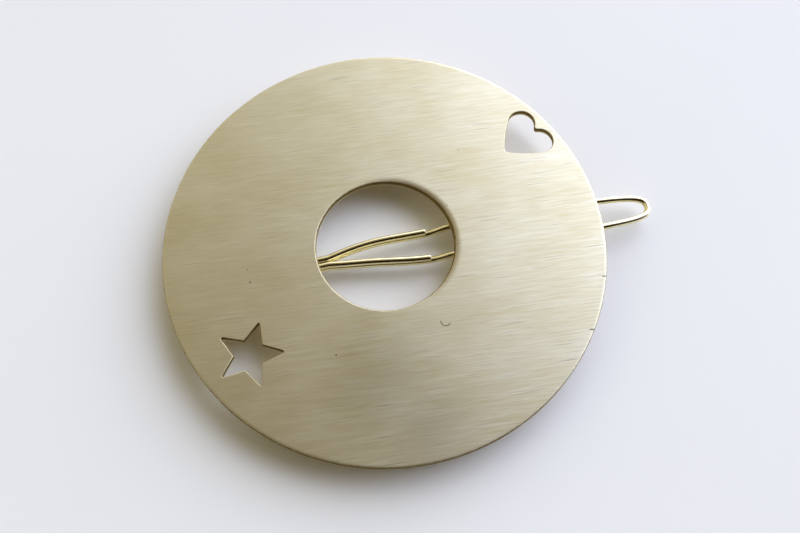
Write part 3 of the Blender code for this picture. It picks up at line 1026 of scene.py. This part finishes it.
def makeSolder(name, look):
    material, tree = newMaterial(name)
    coords = inMillimetres(tree, discCentre)
    skin = addNode(tree, "TexNoise", {"Vector": coords, "Scale": 1 / look["skin"],
                                      "Detail": look["skinDetail"]})
    stain = addNode(tree, "TexNoise", {"Vector": coords, "Scale": 1 / look["stain"],
                                       "Detail": look["stainDetail"]})
    low, high = look["stainRange"]
    tone = addNode(tree, "MapRange", {"Value": stain, "From Min": low, "From Max": high})
    low, high = look["skinRange"]
    smooth, rough = look["roughness"]
    roughness = addNode(tree, "MapRange", {"Value": skin, "From Min": low, "From Max": high,
                                           "To Min": smooth, "To Max": rough})
    finishMetal(tree, twoTone(tree, look, tone), roughness, relief(tree, (skin, look["depth"])))
    return material


def filletSection(width, climb):
    # the outer half of a fillet: down the leg's side, in a hollow to the foot, and back under the disc
    centre = Vector((0, station["upperZ"]))
    top = Vector((0, -discThickness))
    side = Vector((wireRadius * (1 - solder["wallOverlap"]), station["upperZ"] - climb))
    foot = Vector((wireRadius + width, -discThickness))
    corner = Vector((wireRadius * (1 + solder["wallOverlap"]), -discThickness))
    shares = [i / solder["hollowSteps"] for i in range(solder["hollowSteps"] + 1)]
    hollow = [side.lerp(corner, share).lerp(corner.lerp(foot, share), share) for share in shares]
    return [centre, *hollow, top]


def filletRing(bm, side, x, share):
    # a section across the clip at x, which is this share of the fillet's way from the tail to the hole
    taper = solder["endTaper"]
    swell = math.sin(math.pi * (taper + (1 - 2 * taper) * share)) ** solder["swellPower"]
    wander = noise.noise(Vector((x / mm / solder["ripplePitch"], side * solder["rippleShift"], 0)))
    wander *= solder["ripple"]
    width = solder["width"] * mm * (solder["endShare"] + (1 - solder["endShare"]) * swell) * (1 + wander)
    y = side * station["pairedHalf"] + sideBow(x) + station["offset"]
    section = filletSection(width, solder["climb"] * wireRadius * (swell + wander))
    return [bm.verts.new(discCentre + Vector((x, y + side * p.x, p.y))) for p in section]


def buildSolder(side, name, material):
    start = station["eye"] + solder["tailMargin"] * mm
    end = -(disc["holeRadius"] + solder["holeMargin"]) * mm
    count = round((end - start) / (solder["step"] * mm))
    bm = bmesh.new()
    rings = []
    for i in range(count + 1):
        share = i / count
        rings.append(filletRing(bm, side, start + (end - start) * share, share))
    for ring in (rings[0], rings[-1]):
        bm.faces.new(ring)
    loops = []
    for ring in rings:
        pairs = zip(ring, ring[1:] + ring[:1])
        loops.append([bm.edges.get(pair) or bm.edges.new(pair) for pair in pairs])
    for a, b in zip(loops, loops[1:]):
        bmesh.ops.bridge_loops(bm, edges=a + b)
    bmesh.ops.recalc_face_normals(bm, faces=bm.faces)
    piece = makePiece(name, bm, [material], solder["sharpAngle"])
    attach(piece, "disc_body")
    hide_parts("solder_fillet_" + name.split("_")[-1])


# floor

# board, painted matte white: evenly pale, with the faintest unevenness in its tone
paleBoard = {
    "light": "#F7F5E3",
    "dark": "#F2F0DE",
    "size": 3.0,               # m
    "pitch": 40.0,             # mm, of the unevenness
    "roughness": 0.6,
}


def buildFloor():
    bm = bmesh.new()
    bmesh.ops.create_grid(bm, x_segments=1, y_segments=1, size=paleBoard["size"])
    material, tree = newMaterial("matte white board")
    soft = addNode(tree, "TexNoise", {"Vector": inMillimetres(tree), "Scale": 1 / paleBoard["pitch"]})
    setInputs(tree.nodes["Principled BSDF"], {"Base Color": twoTone(tree, paleBoard, soft),
                                              "Roughness": paleBoard["roughness"]})
    mesh = bpy.data.meshes.new("floor")
    bm.to_mesh(mesh)
    bm.free()
    mesh.materials.append(material)
    floor = bpy.data.objects.new("floor", mesh)
    floor.location.z = cadBox[0].z
    bpy.context.scene.collection.objects.link(floor)


# light

studio = {
    "ceiling": "#7F7152",            # overhead, dimmer and warm
    "ceilingWay": (0, -0.292, 0.956),        # its middle is a little towards the near side
    "ceilingFrom": 0.50,             # nearness to that way where the walls start to give way to the ceiling
    "ceilingTo": 0.90,
    "walls": "#FCF5E2",              # all round, pale and slightly warm
    "wallStrength": 0.88,
    "unlit": "#14110D",              # the near side, unlit above the horizon
    "unlitFrom": 0.09,
    "unlitTo": 0.32,
    "horizonFrom": 0.06,             # the near side stays pale this low
    "horizonTo": 0.22,
    "window": "#C7D2FF",
    "windowStrength": 5.25,
    "windowWay": (0.82, 0.49, 0.292),
    "windowFrom": 0.46,
    "windowTo": 1.0,
}


def lightStudio():
    world = bpy.data.worlds.new("studio")
    bpy.context.scene.world = world
    world.use_nodes = True
    tree = world.node_tree
    way = addNode(tree, "TexCoord").outputs["Generated"]
    parts = addNode(tree, "SeparateXYZ", {0: way})
    above = addNode(tree, "VectorMath", {0: way, 1: studio["ceilingWay"]}, operation="DOT_PRODUCT")
    facing = addNode(tree, "VectorMath", {0: way, 1: studio["windowWay"]}, operation="DOT_PRODUCT")
    ranges = {
        "overhead": (above, studio["ceilingFrom"], studio["ceilingTo"]),
        "nearSide": (parts.outputs["Y"], -studio["unlitFrom"], -studio["unlitTo"]),
        "raised": (parts.outputs["Z"], studio["horizonFrom"], studio["horizonTo"]),
        "bright": (facing, studio["windowFrom"], studio["windowTo"]),
    }
    share = {name: addNode(tree, "MapRange", {"Value": value, "From Min": start, "From Max": end},
                           interpolation_type="SMOOTHSTEP")
             for name, (value, start, end) in ranges.items()}
    walls = (*Vector(linear(studio["walls"])[:3]) * studio["wallStrength"], 1)
    window = (*Vector(linear(studio["window"])[:3]) * studio["windowStrength"], 1)
    colour = addNode(tree, "Mix", {0: share["overhead"], 6: walls, 7: linear(studio["ceiling"])},
                     data_type="RGBA")
    unlit = addNode(tree, "Math", {0: share["nearSide"], 1: share["raised"]}, operation="MULTIPLY")
    colour = addNode(tree, "Mix", {0: unlit, 6: colour, 7: linear(studio["unlit"])}, data_type="RGBA")
    glow = addNode(tree, "Mix", {0: share["bright"], 6: (0, 0, 0, 1), 7: window}, data_type="RGBA")
    colour = addNode(tree, "Mix", {0: 1.0, 6: colour, 7: glow}, data_type="RGBA", blend_type="ADD")
    setInputs(tree.nodes["Background"], {"Color": colour})


placeCamera()
lightStudio()
buildFloor()
print("camera, light and floor are in place")
buildDisc()
print("disc is done")
buildClip()
print("clip is done")
silverSolder = makeSolder("silver solder", flowedSolder)
buildSolder(1, "solder_far", silverSolder)
buildSolder(-1, "solder_near", silverSolder)
print("solder is done")

bpy.context.scene.view_settings.view_transform = "Standard"
